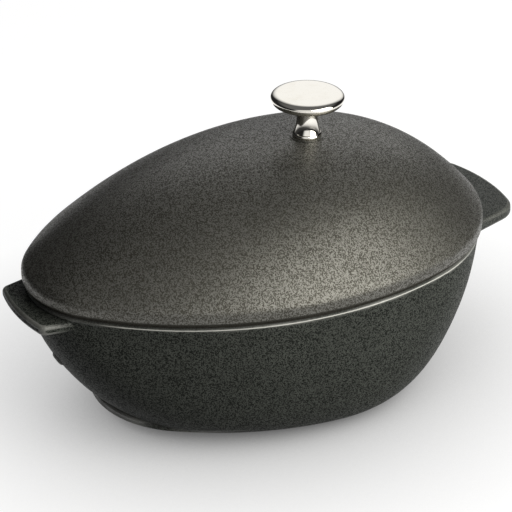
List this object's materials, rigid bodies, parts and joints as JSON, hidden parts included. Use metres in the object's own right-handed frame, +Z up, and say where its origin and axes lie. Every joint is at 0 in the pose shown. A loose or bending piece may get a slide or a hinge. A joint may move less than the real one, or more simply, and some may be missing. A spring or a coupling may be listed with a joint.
{
  "type": "mussel pot",
  "caption": "Egg-shaped cast iron mussel pot with matte black enamel, a domed lid with a round metal knob, cast ears at both ends and a lift-out strainer on folding bails.",
  "frame": {"origin": "on the table, below the middle of the whole length over the two ears, in the plane that halves the pot", "axes": "+X towards the wide end, where the large ear and the knob are; +Y to the left of that; +Z up"},
  "size_m": [0.3261, 0.2052, 0.1802],
  "materials": {
    "enamel": "matte black enamel with a fine grain",
    "nickel": "polished nickel plate",
    "steel": "bright zinc plate",
    "strainer_sheet": "satin stainless sheet",
    "wire": "polished stainless wire"
  },
  "bodies": {
    "pot": {"pot_body": "enamel"},
    "strainer": {"strainer_basket": "strainer_sheet", "strainer_bead": "strainer_sheet", "strainer_legs": "strainer_sheet", "strainer_lugs_narrow": "strainer_sheet", "strainer_lugs_wide": "strainer_sheet"},
    "bail_narrow": {"strainer_bail_narrow": "wire"},
    "bail_wide": {"strainer_bail_wide": "wire"},
    "lid": {"lid": "enamel", "knob": "nickel", "knob_screw": "steel", "knob_washer": "steel", "knob_lock_washer": "steel"}
  },
  "joints": [
    {"name": "strainer_lift", "type": "slide", "parent": "pot", "child": "strainer", "axis": [0, 0, 1], "range_m": [0, 0.12]},
    {"name": "lid_lift", "type": "slide", "parent": "strainer", "child": "lid", "axis": [0, 0, 1], "range_m": [0, 0.15]},
    {"name": "narrow_bail_swing", "type": "hinge", "parent": "strainer", "child": "bail_narrow", "pos_m": [-0.12549, 0, 0.0616], "axis": [0, -1, 0], "range_deg": [0, 152]},
    {"name": "wide_bail_swing", "type": "hinge", "parent": "strainer", "child": "bail_wide", "pos_m": [0.10805, 0, 0.0616], "axis": [0, 1, 0], "range_deg": [0, 160]}
  ]
}
